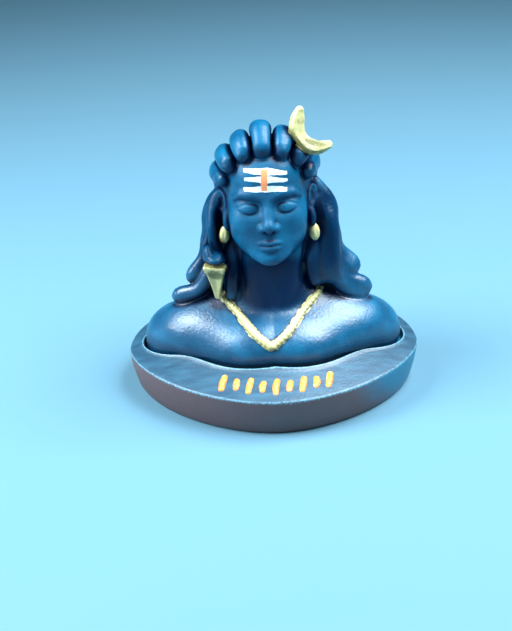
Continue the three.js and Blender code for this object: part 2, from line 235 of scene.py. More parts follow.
def lock_groups(curve, girth, hint, twist, softness, random, spread=0.36):
    """A lock of hair: two strands, each spread girths off the curve, that wind round it by twist turns."""
    across, up = frames_along(curve, hint)
    share = np.linspace(0, 1, len(curve))
    length = np.linalg.norm(np.diff(curve, axis=0), axis=1).sum()
    start = random.uniform(-0.3, 0.3)
    turn = start + 2 * math.pi * twist * share
    swell = 1 + 0.05 * np.sin(2 * math.pi * length * share / random.uniform(9, 14) + random.uniform(0, 6))
    full = girth * lock_girth(share) * swell
    apart = (spread * full)[:, None] * (np.cos(turn)[:, None] * across + np.sin(turn)[:, None] * up)
    return [strand_group(curve + side * apart, (1.08 - spread) * full, softness) for side in (-1, 1)]


def raised(places):
    return np.array(places, float) + (0, 0, RIM)


# Skin: chest, shoulders, neck and head
HEAD_PLACE = (
    Matrix.Translation((-1, -1, 56.5 + RIM))
    @ Matrix.Rotation(math.radians(-2), 4, "Y")
    @ Matrix.Rotation(math.radians(-8), 4, "X")
)
EYE = (5.5, -9.6, -2)
EYE_REACH = (4.5, 4.35, 3.7)


def torso_form():
    return fused(
        7,
        ellipsoid((0, 2, 4 + RIM), (33, 19, 14)),
        mirrored(ellipsoid((28.5, 2.5, 3 + RIM), (15.8, 12.5, 13.2))),
        mirrored(ellipsoid((5.8, -7.4, 7.5 + RIM), (20.2, 16.1, 10))),
        mirrored(rods(raised([(24, 5, 11), (5, 5, 24)]), [4, 8])),
    )


def body_form():
    neck = rods(raised([(0, 4, 14), (0, 3, 26), (0, 2, 46)]), [14, 11.4, 11])
    sinews = mirrored(rods(raised([(10, 0, 42), (3.5, -7, 21)]), [2.2, 1.4]))
    ridge = mirrored(rods(raised([(31, -1, 11), (18, -0.5, 16), (0, 0, 22)]), [3.5, 5.5, 8]))
    breast = mirrored(ellipsoid((21, -4, 9.5 + RIM), (15, 10.5, 8.5)))
    plain = fused(6, torso_form(), neck, ridge, breast)
    return fused(4, plain, sinews)


def front_of(form, x, z):
    """How far forward the form's front lies at one place."""
    y = -45.0
    for _ in range(200):
        gap = float(form(np.array(x, float), np.array(y), np.array(z, float)))
        if gap < 0.01 or y > 10:
            break
        y += 0.5 * gap
    return y


def head_form():
    bone = fused(
        3,
        ellipsoid((0, 2.5, 4.5), (13.4, 16, 14)),
        ellipsoid((0, -4, -4.5), (12.4, 11.2, 15.5)),
        ellipsoid((0, -5, 8), (11.3, 10.3, 8.8)),
        ellipsoid((0, -3.5, -11), (11.9, 10.5, 9.6)),
        ellipsoid((0, -10.4, -17.1), (6, 4.2, 3.6)),
        mirrored(ellipsoid((7, -8.6, -5.6), (4.6, 4.8, 4.4))),
    )
    sockets = mirrored(ellipsoid((4.9, -16.6, -1.2), (3.9, 3.3, 2.6)))
    brows = mirrored(
        rods([(1.7, -14.3, 1.5), (4.8, -13.9, 2.9), (8.2, -12.3, 2.7), (10.4, -10, 1.3)], [0.6, 1, 0.9, 0.5])
    )
    skull = fused(2, hollowed(2.4, bone, sockets), brows)
    return fused(0.45, with_mouth(with_nose(skull)), lids)


def with_nose(face):
    bridge = rods([(0, -13.3, 2.2), (0, -14.7, -1.5), (0, -16.4, -6.4)], [1.1, 1.1, 1.4])
    tip = fused(
        0.9,
        ellipsoid((0, -16.8, -7.2), (1.7, 1.7, 1.6)),
        mirrored(ellipsoid((2.1, -15.2, -7.9), (1.2, 1.7, 1.25))),
        ellipsoid((0, -15.9, -8.6), (0.8, 1.5, 0.7)),
    )
    nostrils = mirrored(ellipsoid((1.2, -16, -9.2), (0.65, 1, 0.6)))
    return hollowed(0.4, fused(1.2, fused(1.8, face, bridge), tip), nostrils)


def with_mouth(face):
    mound = ellipsoid((0, -10.4, -13), (6.2, 4.5, 4.4))
    chin = ellipsoid((0, -12.5, -18.3), (3.6, 2.6, 2.3))
    fold = ellipsoid((0, -17, -16.5), (3.2, 1.7, 0.8))
    channel = rods([(0, -16.5, -10.2), (0, -16.8, -11.6)], 0.45)
    face = hollowed(1, fused(1.6, face, mound, chin), fused(0.5, fold, channel))
    upper = fused(
        0.6,
        ellipsoid((0, -14.9, -12.9), (1.3, 1.1, 0.8)),
        mirrored(rods([(0.9, -14.9, -12.6), (2.8, -14.3, -12.8), (5, -12.9, -13.3)], [0.9, 0.8, 0.3])),
    )
    lower_line = [(0.3, -14.8, -14.6), (2.1, -14.4, -14.5), (4.5, -13.1, -13.7)]
    lower = mirrored(rods(lower_line, [1.15, 1.0, 0.35]))
    return fused(0.5, face, fused(0.1, upper, lower))


def lid_lines(x):
    """The heights of the lashes and of the fold above them, on the closed eye at each place across."""
    side = np.abs(x) - EYE[0]
    return EYE[2] - 1.35 + 0.09 * side**2, EYE[2] + 1.9 - 0.08 * side**2


def lids(x, y, z):
    """Closed eyes: a rounded swelling in each socket, with the lashes low on it and a fold above."""
    lashes, fold = lid_lines(x)
    upper_lid = 0.2 + 0.2 * np.tanh((z - lashes) / 0.12)
    lash_line = 0.4 * np.exp(-(((z - lashes + 0.2) / 0.3) ** 2))
    fold_line = 0.3 * np.exp(-(((z - fold) / 0.35) ** 2))
    swelling = mirrored(ellipsoid(EYE, EYE_REACH))
    return swelling(x, y, z) - (upper_lid - lash_line - fold_line)


def crease_shade_paint(points):
    """How dark the painted shade is at each place, in the creases along the lashes and between the lips."""
    local = (points - np.array(HEAD_PLACE.translation)) @ np.array(HEAD_PLACE.to_3x3())
    x, y, z = local.T
    lashes, _ = lid_lines(x)
    lash_span = np.clip(1.35 - np.abs(np.abs(x) - EYE[0]) / 2.9, 0, 1) * (y < -9)
    lip_span = np.clip(1.5 - np.abs(x) / 3.6, 0, 1) * (y < -10)
    lash_line = np.exp(-(((z - lashes + 0.15) / 0.32) ** 2)) * lash_span
    lip_line = np.exp(-(((z + 13.75 - 0.018 * x**2) / 0.28) ** 2)) * lip_span
    return np.maximum(0.85 * lash_line, 0.7 * lip_line)


def ear_forms():
    forms = []
    for side in (-1, 1):
        place = (
            Matrix.Translation((side * 13.5, -0.8, -2.8))
            @ Matrix.Rotation(math.radians(side * -30), 4, "Z")
            @ Matrix.Rotation(math.radians(-12), 4, "X")
        )
        rim = [
            (0.9 * side, 2.3 * math.cos(a), 1.4 + 3.2 * math.sin(a))
            for a in np.radians(np.linspace(-60, 230, 12))
        ]
        dent = ellipsoid((1.6 * side, -0.2, 0.6), (1.2, 1.5, 2.4))
        bowl = hollowed(0.8, ellipsoid((0, 0, 0), (1.6, 3.1, 5.1)), dent)
        shell = moved(fused(0.6, bowl, rods(rim, 0.62)), place)
        lobe = ellipsoid((side * 13.8 + 0.4, -3, -8.4), (1.3, 1.6, 3))
        forms.append(moved(fused(2, shell, lobe), HEAD_PLACE))
    return forms


# Hair
CROWN_LOCKS = 7
CROWN_SPREAD = 78  # degrees from the middle to the last lock on each side
CROWN_TURN = 2.5  # degrees that the whole crown is turned to the figure's right
WAIST_SHARE, WAIST_REACH, WAIST_DEPTH = 0.24, 0.14, 0.22  # the crown's locks are slimmer here
HANGING_LOCKS = [  # girth and path of each lock, with heights from the plinth's rim
    (3.3, [(-14, 3, 57), (-18.3, 2, 51), (-20.4, 1, 41), (-22.6, 0, 33), (-27.3, -1, 26)]),
    (3.6, [(-14, 3, 50), (-17.5, 0.5, 41), (-20, -2, 31), (-24.5, -2.2, 23.2), (-32.8, -0.5, 19.2)]),
    (1.9, [(-16, 1, 57), (-19, -2, 51), (-19, -4.5, 43), (-17.5, -5.5, 35)]),
    (3.4, [(-12.3, 2, 47), (-13.2, -1.5, 38), (-13.1, -4.5, 30), (-12.6, -6.3, 21.5)]),
    (3.6, [(14, 3, 58), (18.2, 2.5, 51), (20.3, 2, 41), (22.8, 1, 33), (28.6, 0, 27.6)]),
    (4.0, [(15.5, 1, 53), (18.3, -0.5, 45), (20, -2, 36), (21.5, -3, 28.5), (26, -2, 23), (32.6, 0, 20)]),
    (3.0, [(14.5, 2, 49), (16.8, -1, 41), (17.8, -4, 33), (20.5, -5.2, 26.5)]),
    (3.3, [(12.3, 3, 47), (13.7, -1, 38), (14.6, -3.8, 31), (16.5, -4.8, 26)]),
    (1.7, [(12, 1.5, 46), (12.2, -1.7, 38), (13, -4.4, 31.5), (14.4, -6, 25.5)]),
]


def crown_curve(i):
    """The path of one lock over the crown, the direction that it faces and its girth along the path."""
    turn = math.radians(CROWN_SPREAD * (2 * i / (CROWN_LOCKS - 1) - 1) - CROWN_TURN)
    s, c = math.sin(turn), math.cos(turn)
    height = 3.6 + 2.8 * c - (0 if i % 2 else 0.7)
    places = [
        (12.2 * s, -11 + 8 * (1 - c), 4.4 + 10.3 * c),
        (13.9 * s, -12.6 + 8 * (1 - c), 4.6 + 12.6 * c),
        ((12.2 + 0.62 * height) * s, -7.6 + 6 * (1 - c), 4.4 + (10.8 + height) * c),
        (15.8 * s, 4, 5 + 13.2 * c),
        (15.6 * s, 16, 3 + 8 * c),
        (14 * s, 19.5, -8),
        (17 * s, 20 - 2 * abs(s), -24),
        (23 * s, 22 - 3 * abs(s), -38),
        (27 * s, 22 - 3 * abs(s), -46 + 4 * (i % 2)),
    ]
    curve = curve_through([HEAD_PLACE @ Vector(p) for p in places], 72)
    off = (np.linspace(0, 1, len(curve)) - WAIST_SHARE) / WAIST_REACH
    waist = 1 - WAIST_DEPTH * np.exp(-(off**2))
    return curve, (s, 0, c), (3.4 + 0.4 * c) * waist


def hair_groups():
    random = np.random.default_rng(7)
    groups = []
    cap = moved(ellipsoid((0, 4.2, 4.4), (14.8, 16.4, 13.6)), HEAD_PLACE)
    groups.append(group(cap, (-17, -15, 55), (17, 25, 92), 0.4))
    lean = Matrix.Translation((0, 11.5, 36 + RIM)) @ Matrix.Rotation(math.radians(-4), 4, "X")
    mass = moved(ellipsoid((0, 0, 0), (18.5, 8.5, 27)), lean)
    groups.append(group(mass, (-20, 0, 20), (20, 24, 80), 0.4))
    for i in range(CROWN_LOCKS):
        curve, outward, girth = crown_curve(i)
        groups += lock_groups(curve, girth, outward, 0.12, 0.5, random, 0.2)
    for girth, places in HANGING_LOCKS:
        curve = curve_through(raised(places), 34)
        groups += lock_groups(curve, girth, (0, -1, 0), random.uniform(0.35, 0.55), 1.2, random)
    return groups


# Ornaments, cast in one with the figure
MOON_LINE = [  # x, y and half width from the upper horn to the lower
    (-1.7, 9.2, 1.35),
    (-2.4, 6.6, 2.2),
    (-2.7, 3.8, 2.45),
    (-1.5, 1, 2),
    (0.6, -1.4, 2.15),
    (3.1, -2.3, 2.45),
    (5.5, -1.95, 2),
    (6.9, -1.5, 1.35),
]
MOON_THICK = 3.6
MOON_PLACE = Matrix.Translation((11.4, -8, 75.9 + RIM)) @ Matrix.Rotation(math.radians(74), 4, "X")


def moon_groups():
    """The crescent: its faces rise like low roofs to a ridge along the middle."""
    STEPS = 28
    midline = curve_through([(x, y, 0) for x, y, _ in MOON_LINE], STEPS)
    given = np.linspace(0, 1, len(MOON_LINE))
    widths = np.interp(np.linspace(0, 1, STEPS + 1), given, [half for *_, half in MOON_LINE])
    outline = rods(midline, widths)
    inwards = np.gradient(midline, axis=0) @ np.array([(0, -1, 0), (1, 0, 0), (0, 0, 0)]).T
    inwards /= np.linalg.norm(inwards, axis=1)[:, None]
    inner = rods(midline - 0.42 * widths[:, None] * inwards, 0.58 * widths)

    def form(x, y, z):
        flat = outline(x, y, 0 * z)
        roof = np.clip(-0.35 * flat, 0, 1)
        ridge = np.clip(-0.9 * inner(x, y, 0 * z), 0, 1.2)
        half = MOON_THICK / 2 - 1.1 + roof + ridge
        return plate(flat, (np.abs(z) - half) * 0.75, 0.2)

    return [group(moved(form, MOON_PLACE), (5, -16, 84), (22, -2, 103), 0.1)]


COIL_BOTTOM, COIL_TOP, COIL_HALF_WIDTH, COIL_MIDDLE = 11.1, 23, 17.4, -1
COIL_WINDS, COIL_GIRTH, COIL_SPREAD = 19, 0.9, 0.46


def coil_groups(body):
    """The cobra's body: two strands wound together, in a V on the chest."""
    places = []
    for share in np.linspace(-1, 1, 17):
        x = COIL_MIDDLE + COIL_HALF_WIDTH * share
        z = COIL_BOTTOM + (COIL_TOP - COIL_BOTTOM) * abs(share) ** 1.08 + RIM
        places.append((x, front_of(body, x, z) - 0.1, z))
    STEPS = 200
    curve = curve_through(places, STEPS)
    across, up = frames_along(curve, (0, 0, 1))
    share = np.linspace(0, 1, STEPS + 1)
    turn = 2 * math.pi * COIL_WINDS * share + 0.5 * np.sin(11 * share)
    slim = 1 - 0.28 * (2 * share - 1) ** 2
    apart = (COIL_SPREAD * slim)[:, None] * (np.cos(turn)[:, None] * across + np.sin(turn)[:, None] * up)
    girth = COIL_GIRTH * slim * (1 + 0.06 * np.sin(23 * share))
    return [strand_group(curve + side * apart, girth, 0.25, 6) for side in (-1, 1)]


HOOD_LENGTH, HOOD_FOOT, HOOD_SPREAD = 12.3, 0.95, 2.8  # half width at the foot and how much the top adds
HOOD_RIM_FOOT = -1.5
HOOD_PLACE = Matrix.Translation((-18.6, -9.9, 34.9 + RIM)) @ Matrix.Rotation(math.radians(-14), 4, "Z")


def hood_groups():
    """The cobra's spread hood: a funnel-shaped shield, dished in front under a thick upper rim."""

    def form(x, y, z):
        share = np.clip((z + HOOD_LENGTH) / HOOD_LENGTH, 0, 1)
        half = HOOD_FOOT + HOOD_SPREAD * share**1.4
        flat = softmax(softmax((np.abs(x) - half) * 0.85, z - 0.5, 0.6), -z - 12.6, 0.8)
        under = np.clip(HOOD_RIM_FOOT - z, 0, 0.6) / 0.6
        dish = under * (0.4 + 0.9 * share * np.exp(-((x / (0.75 * half)) ** 2)))
        forward = np.where(y < 0, 0.45 - dish, 0)
        return plate(flat, (np.abs(y + 0.1) - 1.35 - forward) * 0.8, 0.4)

    lean = HOOD_PLACE @ Matrix.Rotation(math.radians(12), 4, "X")
    return [group(moved(form, lean), (-26, -17, 32), (-12, -3, 51), 0.2)]


def cobra_head_group():
    """The cobra's head above its hood: broad at the neck, with a blunt snout and two eyes."""
    form = fused(
        1.5,
        ellipsoid((-0.6, 1.9, 2.1), (3.8, 2.8, 2.5)),
        ellipsoid((-2.4, 1.3, 4.4), (1.7, 2.2, 2.3)),
        ellipsoid((0.4, -1, 2.9), (2.5, 2.2, 1.3)),
        ellipsoid((-1.5, -0.5, 4.2), (0.6, 0.7, 0.7)),
        ellipsoid((2, -0.4, 3.8), (0.6, 0.7, 0.7)),
    )
    return group(moved(form, HOOD_PLACE), (-25, -17, 46), (-12, -2, 57), 0.5)


EARRING_X, EARRING_RADII = 14.6, (1.8, 1.7, 3.1)


def earring_groups():
    """Oval ear studs, each with a cleft down its front."""
    groups = []
    for side in (-1, 1):
        x = side * EARRING_X - 0.5
        lean = Matrix.Rotation(math.radians(-9 * side), 4, "Y")
        turn = Matrix.Rotation(math.radians(18 * side), 4, "Z")
        place = Matrix.Translation((x, -4.9, 44 + RIM)) @ lean @ turn
        bean = ellipsoid((0, 0, 0), EARRING_RADII)
        cleft = rods([(0.2, -1.9, 1.9), (0.45, -2, -2)], 0.35)
        form = moved(hollowed(0.5, bean, cleft), place)
        groups.append(group(form, (x - 4, -8, 52), (x + 4, 0, 62), 0.1))
    return groups


# Plinth, cast in one with the figure
FRONT_POWERS = (1.8, 1.6)
BACK_POWERS = (2.3, 2.1)
HALF_LENGTH, HALF_DEPTH = 50, 38.5
BAND_RISE = 11
WALL_LEAN, WALL_SWELL = 2.6, 0.5
GROOVE_WIDTH = 1.1
LIP = 0.35  # the groove's outer edge stands this proud of the band
GROOVE_EDGE = [  # how far outside the groove's edge, how far above the band, and how pale the paint is there, part wear and part painted highlight
    (0.9, 0.06, 0),
    (0.6, LIP, 1),
    (0.25, LIP, 1),
    (0, -0.1, 0.7),
    (-0.05, -1, 0),
    (-0.3, -2.4, 0),
    (-3, -3.2, 0),
]


def border(is_outside, low, high):
    """The last reach inside and the first outside, found by halving the stretch from low to high."""
    for _ in range(HALVINGS):
        middle = (low + high) / 2
        out = is_outside(middle)
        high = np.where(out, middle, high)
        low = np.where(out, low, middle)
    return low, high


def outline_reach(turn, inset=0.0):
    """How far from the middle the plinth's outline lies in each direction."""
    c, s = np.cos(turn), np.sin(turn)
    along = np.where(s < 0, FRONT_POWERS[0], BACK_POWERS[0])
    across = np.where(s < 0, FRONT_POWERS[1], BACK_POWERS[1])

    def is_outside(reach):
        total = np.abs(reach * c / (HALF_LENGTH - inset)) ** along
        total += np.abs(reach * s / (HALF_DEPTH - inset)) ** across
        return total > 1

    inside, _ = border(is_outside, np.zeros_like(c), np.full_like(c, 2 * HALF_LENGTH))
    return inside


def top_height(reach, rim):
    """The height of the plinth's sloping top, which rises from its rim towards the middle."""
    return RIM + BAND_RISE * np.maximum(0, 1 - reach / rim)


def groove_reach(turn, rim):
    """How far from the middle the groove's outer edge lies in each direction."""
    torso = torso_form()

    def is_outside(reach):
        return torso(reach * np.cos(turn), reach * np.sin(turn), top_height(reach, rim)) > GROOVE_WIDTH

    _, outside = border(is_outside, np.zeros(len(turn)), rim)
    return outside


def plinth_mesh():
    """Rings from the underside up the wall, over the rim and the sloping top and down into the groove."""
    SIDES = 360
    turn = np.linspace(0, 2 * math.pi, SIDES, endpoint=False)
    rim = outline_reach(turn)
    rings = []
    for inset, z in [(WALL_LEAN + 1.2, 0), (WALL_LEAN + 0.35, 0.12), (WALL_LEAN, 0.6)]:
        rings.append((outline_reach(turn, inset), np.full(SIDES, z)))
    for share in np.linspace(0.1, 0.94, 8):
        swell = WALL_SWELL * 4 * share * (1 - share)
        rings.append((outline_reach(turn, WALL_LEAN * (1 - share) - swell), np.full(SIDES, RIM * share)))
    rings.append((rim - 0.05, np.full(SIDES, RIM - 0.25)))
    rings.append((rim - 0.2, np.full(SIDES, RIM + 0.02)))
    edge = groove_reach(turn, rim)
    # The rim's rings are painted pale, part wear and part painted highlight.
    wear_and_highlight = [0.0] * (len(rings) - 3) + [0.6, 1, 0.8]
    for share in np.linspace(0.04, 0.9, 9):
        reach = rim - 0.2 + (edge + 1.2 - rim + 0.2) * share
        rings.append((reach, top_height(reach, rim)))
        wear_and_highlight.append(0.0)
    for back, rise, edge_wear_and_highlight in GROOVE_EDGE:
        rings.append((edge + back, top_height(edge + back, rim) + rise))
        wear_and_highlight.append(edge_wear_and_highlight)
    places = [np.stack([r * np.cos(turn), r * np.sin(turn), z], 1) for r, z in rings]
    points = np.concatenate(places + [np.array([[0, 0, 0], [0, 0, RIM - 1]])])
    quads = []
    for i in range(len(rings) - 1):
        a = np.arange(SIDES) + i * SIDES
        b = np.roll(np.arange(SIDES), -1) + i * SIDES
        quads.append(np.stack([a, b, b + SIDES, a + SIDES], 1))
    first, last = np.arange(SIDES), np.arange(SIDES) + (len(rings) - 1) * SIDES
    foot = np.stack([np.roll(first, -1), first, np.full(SIDES, len(points) - 2)], 1)
    crown = np.stack([last, np.roll(last, -1), np.full(SIDES, len(points) - 1)], 1)
    return points, np.concatenate([foot, crown]), np.concatenate(quads), np.repeat(wear_and_highlight, SIDES)


STROKES, STROKE_PITCH, STROKE_WIDTH, STROKE_LENGTHS = 9, 4.3, 1.7, (7, 5)
ROW_FRONT = 31  # about how far the row is in front of the plinth's middle
ROW_SHARE = 0.83  # the row's place, as a share of the way from the middle to the rim


def stroke_groups():
    groups = []
    slope = math.atan2(BAND_RISE, HALF_DEPTH)
    random = np.random.default_rng(3)
    for i in range(STROKES):
        x = (i - (STROKES - 1) / 2) * STROKE_PITCH
        turn = math.atan2(-ROW_FRONT, x)
        reach = float(outline_reach(np.array(turn)))
        y = math.sin(turn) * reach * ROW_SHARE
        place = (
            Matrix.Translation((x, y, RIM + BAND_RISE * (1 - ROW_SHARE)))
            @ Matrix.Rotation(slope, 4, "X")
            @ Matrix.Rotation(math.radians(-9 + random.uniform(-4, 4)), 4, "Z")
        )
        half = STROKE_LENGTHS[i % 2] / 2 - STROKE_WIDTH / 2
        bend = random.uniform(-0.35, 0.35)
        form = rods([(0, -half, -0.6), (bend, 0, -0.5), (0, half, -0.6)], [1.1, 1.25, 1.15])
        groups.append(group(moved(form, place), (x - 3, y - 6, 10), (x + 3, y + 6, 22), 0.05))
    return groups


# Meshes
def mesh_of(name, points, *faces):
    """A mesh from its places and from arrays of faces, each with its own number of corners."""
    mesh = bpy.data.meshes.new(name)
    corners = np.concatenate([f.ravel() for f in faces])
    sizes = np.concatenate([np.full(len(f), f.shape[1]) for f in faces])
    mesh.vertices.add(len(points))
    mesh.vertices.foreach_set("co", points.astype("f4").ravel())
    mesh.loops.add(len(corners))
    mesh.loops.foreach_set("vertex_index", corners.astype("i4"))
    mesh.polygons.add(len(sizes))
    mesh.polygons.foreach_set("loop_start", (np.cumsum(sizes) - sizes).astype("i4"))
    mesh.update(calc_edges=True)
    return mesh


def outward(points, triangles, quads):
    """The same faces, turned over if they face inwards."""
    halves = np.concatenate([triangles, quads[:, :3], quads[:, [0, 2, 3]]])
    a, b, c = (points[halves[:, i]] for i in range(3))
    if (a * np.cross(b, c)).sum() < 0:
        return points, triangles[:, ::-1], quads[:, ::-1]
    return points, triangles, quads


def reduced(points, triangles, quads, limit):
    """The same surface with no more than this many triangles."""
    rough = bpy.data.objects.new("rough", mesh_of("rough", points, triangles, quads))
    bpy.context.scene.collection.objects.link(rough)
    count = len(triangles) + 2 * len(quads)
    step = rough.modifiers.new("reduce", "DECIMATE")
    step.ratio = min(1, limit / count)
    depsgraph = bpy.context.evaluated_depsgraph_get()
    mesh = bpy.data.meshes.new_from_object(rough.evaluated_get(depsgraph))
    mesh.calc_loop_triangles()
    places = np.empty(len(mesh.vertices) * 3, "f4")
    mesh.vertices.foreach_get("co", places)
    faces = np.empty(len(mesh.loop_triangles) * 3, "i4")
    mesh.loop_triangles.foreach_get("vertices", faces)
    for spent in (rough.data, mesh):
        bpy.data.meshes.remove(spent)
    return places.reshape(-1, 3), faces.reshape(-1, 3), np.empty((0, 4), "i4")


# The casting
BLUE, GOLD, ORANGE = range(3)


def figure_groups(body):
    groups = [
        group(body, (-46, -26, 0), (46, 23, 64), 1.0),
        group(moved(head_form(), HEAD_PLACE), (-15, -20, 44), (15, 20, 92), 2.5),
    ]
    groups += [group(form, (-18, -9, 54), (18, 8, 78), 0.5) for form in ear_forms()]
    return groups + hair_groups() + [cobra_head_group()]


def skinned(groups, cell, limit):
    """The surface of joined groups as places and triangles, no more than this many."""
    chunks = [chunk for part in groups for chunk in part["chunks"]]
    low = np.min([chunk[1] for chunk in chunks], 0) - 1
    high = np.max([chunk[2] for chunk in chunks], 0) + 1
    return reduced(*outward(*surface(groups, low, high, cell)), limit)


def shaded(points, normals, groups):
    """How deep each place lies in a hollow, from 0 in the open to 1. The paints use it to lay painted shade
    in the hollows.
    """
    deepest = np.zeros(len(points), "f4")
    for reach, weight in ((0.5, 0.7), (1.4, 1), (5.5, 0.65)):
        gap = distances(groups, (points + normals * reach).astype("f4"), np.zeros((1, 3), "f4"), 0)[:, 0]
        deepest = np.maximum(deepest, weight * (1 - gap / reach))
    return np.clip(deepest, 0, 1)


def cast_mesh():
    """The whole casting, with each face's paint and the values at each vertex that the paint reads."""
    body = body_form()
    figure = figure_groups(body)
    trims = [moon_groups(), coil_groups(body), hood_groups(), earring_groups()]
    gold = sum(trims, [])
    *plinth_faces, ring_wear_and_highlight = plinth_mesh()
    parts = [(*skinned(figure, FIGURE_CELL, FIGURE_TRIANGLES), BLUE), (*outward(*plinth_faces), BLUE)]
    for trim in trims:
        parts.append((*skinned(trim, TRIM_CELL, TRIM_TRIANGLES), GOLD))
    parts.append((*skinned(stroke_groups(), TRIM_CELL, STROKE_TRIANGLES), ORANGE))

    points = np.concatenate([part[0] for part in parts])
    starts = np.cumsum([0] + [len(part[0]) for part in parts])
    triangles = np.concatenate([part[1] + start for part, start in zip(parts, starts)])
    quads = np.concatenate([part[2] + start for part, start in zip(parts, starts)])
    paints = [np.full(len(part[i]), part[3]) for i in (1, 2) for part in parts]
    mesh = mesh_of("shiva_bust_cast", points, triangles, quads)
    normals = np.empty(len(points) * 3, "f4")
    mesh.vertex_normals.foreach_get("vector", normals)
    normals = normals.reshape(-1, 3)
    centre = np.zeros((1, 3), "f4")
    plinth = np.zeros(len(points), "f4")
    plinth[starts[1] : starts[2]] = 1
    # Pale paint on the plinth's edges: part wear, part painted highlight.
    wear_and_highlight = np.zeros(len(points), "f4")
    wear_and_highlight[starts[1] : starts[1] + len(ring_wear_and_highlight)] = ring_wear_and_highlight
    values = {
        "hollow": shaded(points, normals, figure + gold),
        "gold_gap": distances(gold, points.astype("f4"), centre, 0)[:, 0],
        "plinth": plinth,
        "wear_and_highlight": wear_and_highlight,
        "crease_shade": crease_shade_paint(points),
    }
    for name, value in values.items():
        mesh.attributes.new(name, "FLOAT", "POINT").data.foreach_set("value", value.astype("f4"))
    mesh.polygons.foreach_set("material_index", np.concatenate(paints).astype("i4"))
    mesh.polygons.foreach_set("use_smooth", np.ones(len(mesh.polygons), bool))
    mesh.vertices.foreach_set("co", (points * UNIT).astype("f4").ravel())
    mesh.update()
    mesh.set_sharp_from_angle(angle=math.radians(50))
    return mesh


# Paint
class Paint:
    """A material whose nodes are added by plain calls. Sockets and numbers can be mixed freely."""

    def __init__(self, name):
        self.material = bpy.data.materials.new(name)
        self.material.use_nodes = True
        self.tree = self.material.node_tree
        self.shader = self.tree.nodes["Principled BSDF"]
        scale = self.tree.nodes.new("ShaderNodeVectorMath")
        scale.operation = "SCALE"
        scale.inputs["Scale"].default_value = 1 / UNIT
        self.put(scale.inputs[0], self.tree.nodes.new("ShaderNodeTexCoord").outputs["Object"])
        self.place = scale.outputs[0]
        split = self.tree.nodes.new("ShaderNodeSeparateXYZ")
        self.put(split.inputs[0], self.place)
        self.x, self.y, self.z = split.outputs

    def put(self, socket, value):
        if isinstance(value, bpy.types.NodeSocket):
            self.tree.links.new(value, socket)
        else:
            socket.default_value = value

    def worked_out(self, kind, operation, values):
        node = self.tree.nodes.new(kind)
        node.operation = operation
        for socket, value in zip(node.inputs, values):
            self.put(socket, value)
        return node

    def math(self, operation, *values):
        return self.worked_out("ShaderNodeMath", operation, values).outputs[0]

    def vector(self, operation, *values):
        return self.worked_out("ShaderNodeVectorMath", operation, values)

    def product(self, first, *rest):
        for value in rest:
            first = self.math("MULTIPLY", first, value)
        return first

    def plus(self, value, *factors):
        return self.math("ADD", value, self.product(*factors))

    def less(self, value, *factors):
        return self.math("SUBTRACT", value, self.product(*factors))

    def step(self, value, low, high):
        """Rises smoothly from 0 at low to 1 at high, or falls where low is above high."""
        node = self.tree.nodes.new("ShaderNodeMapRange")
        node.interpolation_type = "SMOOTHSTEP"
        self.put(node.inputs["Value"], value)
        self.put(node.inputs["From Min"], min(low, high))
        self.put(node.inputs["From Max"], max(low, high))
        self.put(node.inputs["To Min"], float(low > high))
        self.put(node.inputs["To Max"], float(low < high))
        return node.outputs[0]

    def noise(self, size, detail=2.0, stretch=(1, 1, 1)):
        """Cloudy values from 0 to 1, in patches of about this size."""
        node = self.tree.nodes.new("ShaderNodeTexNoise")
        node.inputs["Scale"].default_value = 1
        node.inputs["Detail"].default_value = detail
        spread = self.vector("DIVIDE", self.place, [size * s for s in stretch])
        self.put(node.inputs["Vector"], spread.outputs[0])
        return node.outputs["Fac"]

    def near(self, centre, reach):
        """The distance from a place, as a share of how far it reaches along each axis."""
        away = self.vector("SUBTRACT", self.place, centre)
        share = self.vector("DIVIDE", away.outputs[0], reach)
        return self.vector("LENGTH", share.outputs[0]).outputs["Value"]

    def varied(self, value, noise, amount):
        """The value with up to half the amount added or taken away in patches."""
        return self.math("ADD", value, self.math("MULTIPLY_ADD", noise, amount, -amount / 2))

    def value_at(self, name):
        node = self.tree.nodes.new("ShaderNodeAttribute")
        node.attribute_name = name
        return node.outputs["Fac"]

    def mix(self, share, low, high):
        node = self.tree.nodes.new("ShaderNodeMix")
        node.data_type = "RGBA"
        self.put(node.inputs["Factor"], share)
        for socket, value in ((node.inputs[6], low), (node.inputs[7], high)):
            self.put(socket, (*value, 1) if isinstance(value, tuple) else value)
        return node.outputs[2]

    def bump(self, height, depth):
        node = self.tree.nodes.new("ShaderNodeBump")
        node.inputs["Distance"].default_value = depth * UNIT
        self.put(node.inputs["Height"], height)
        self.put(self.shader.inputs["Normal"], node.outputs[0])

    def finish(self, colour, roughness):
        self.put(self.shader.inputs["Base Color"], colour)
        self.put(self.shader.inputs["Roughness"], roughness)
        self.shader.inputs["Coat Roughness"].default_value = 0.25
        return self.material


# The navy is the colour of painted shade.
LIT_BLUE, MID_BLUE, NAVY = (0.001, 0.112, 0.225), (0.001, 0.056, 0.128), (0.0005, 0.012, 0.045)
BAND_DARK, BAND_LIT = (0.008, 0.05, 0.095), (0.02, 0.09, 0.15)
# First on the next line: the wall's painted dark reflection; last: the edges' pale paint, part wear and part
# painted highlight.
WALL_REFLECTION, WALL_BLUE, WEAR_AND_HIGHLIGHT = (0.098, 0.052, 0.056), (0.004, 0.15, 0.26), (0.12, 0.3, 0.4)
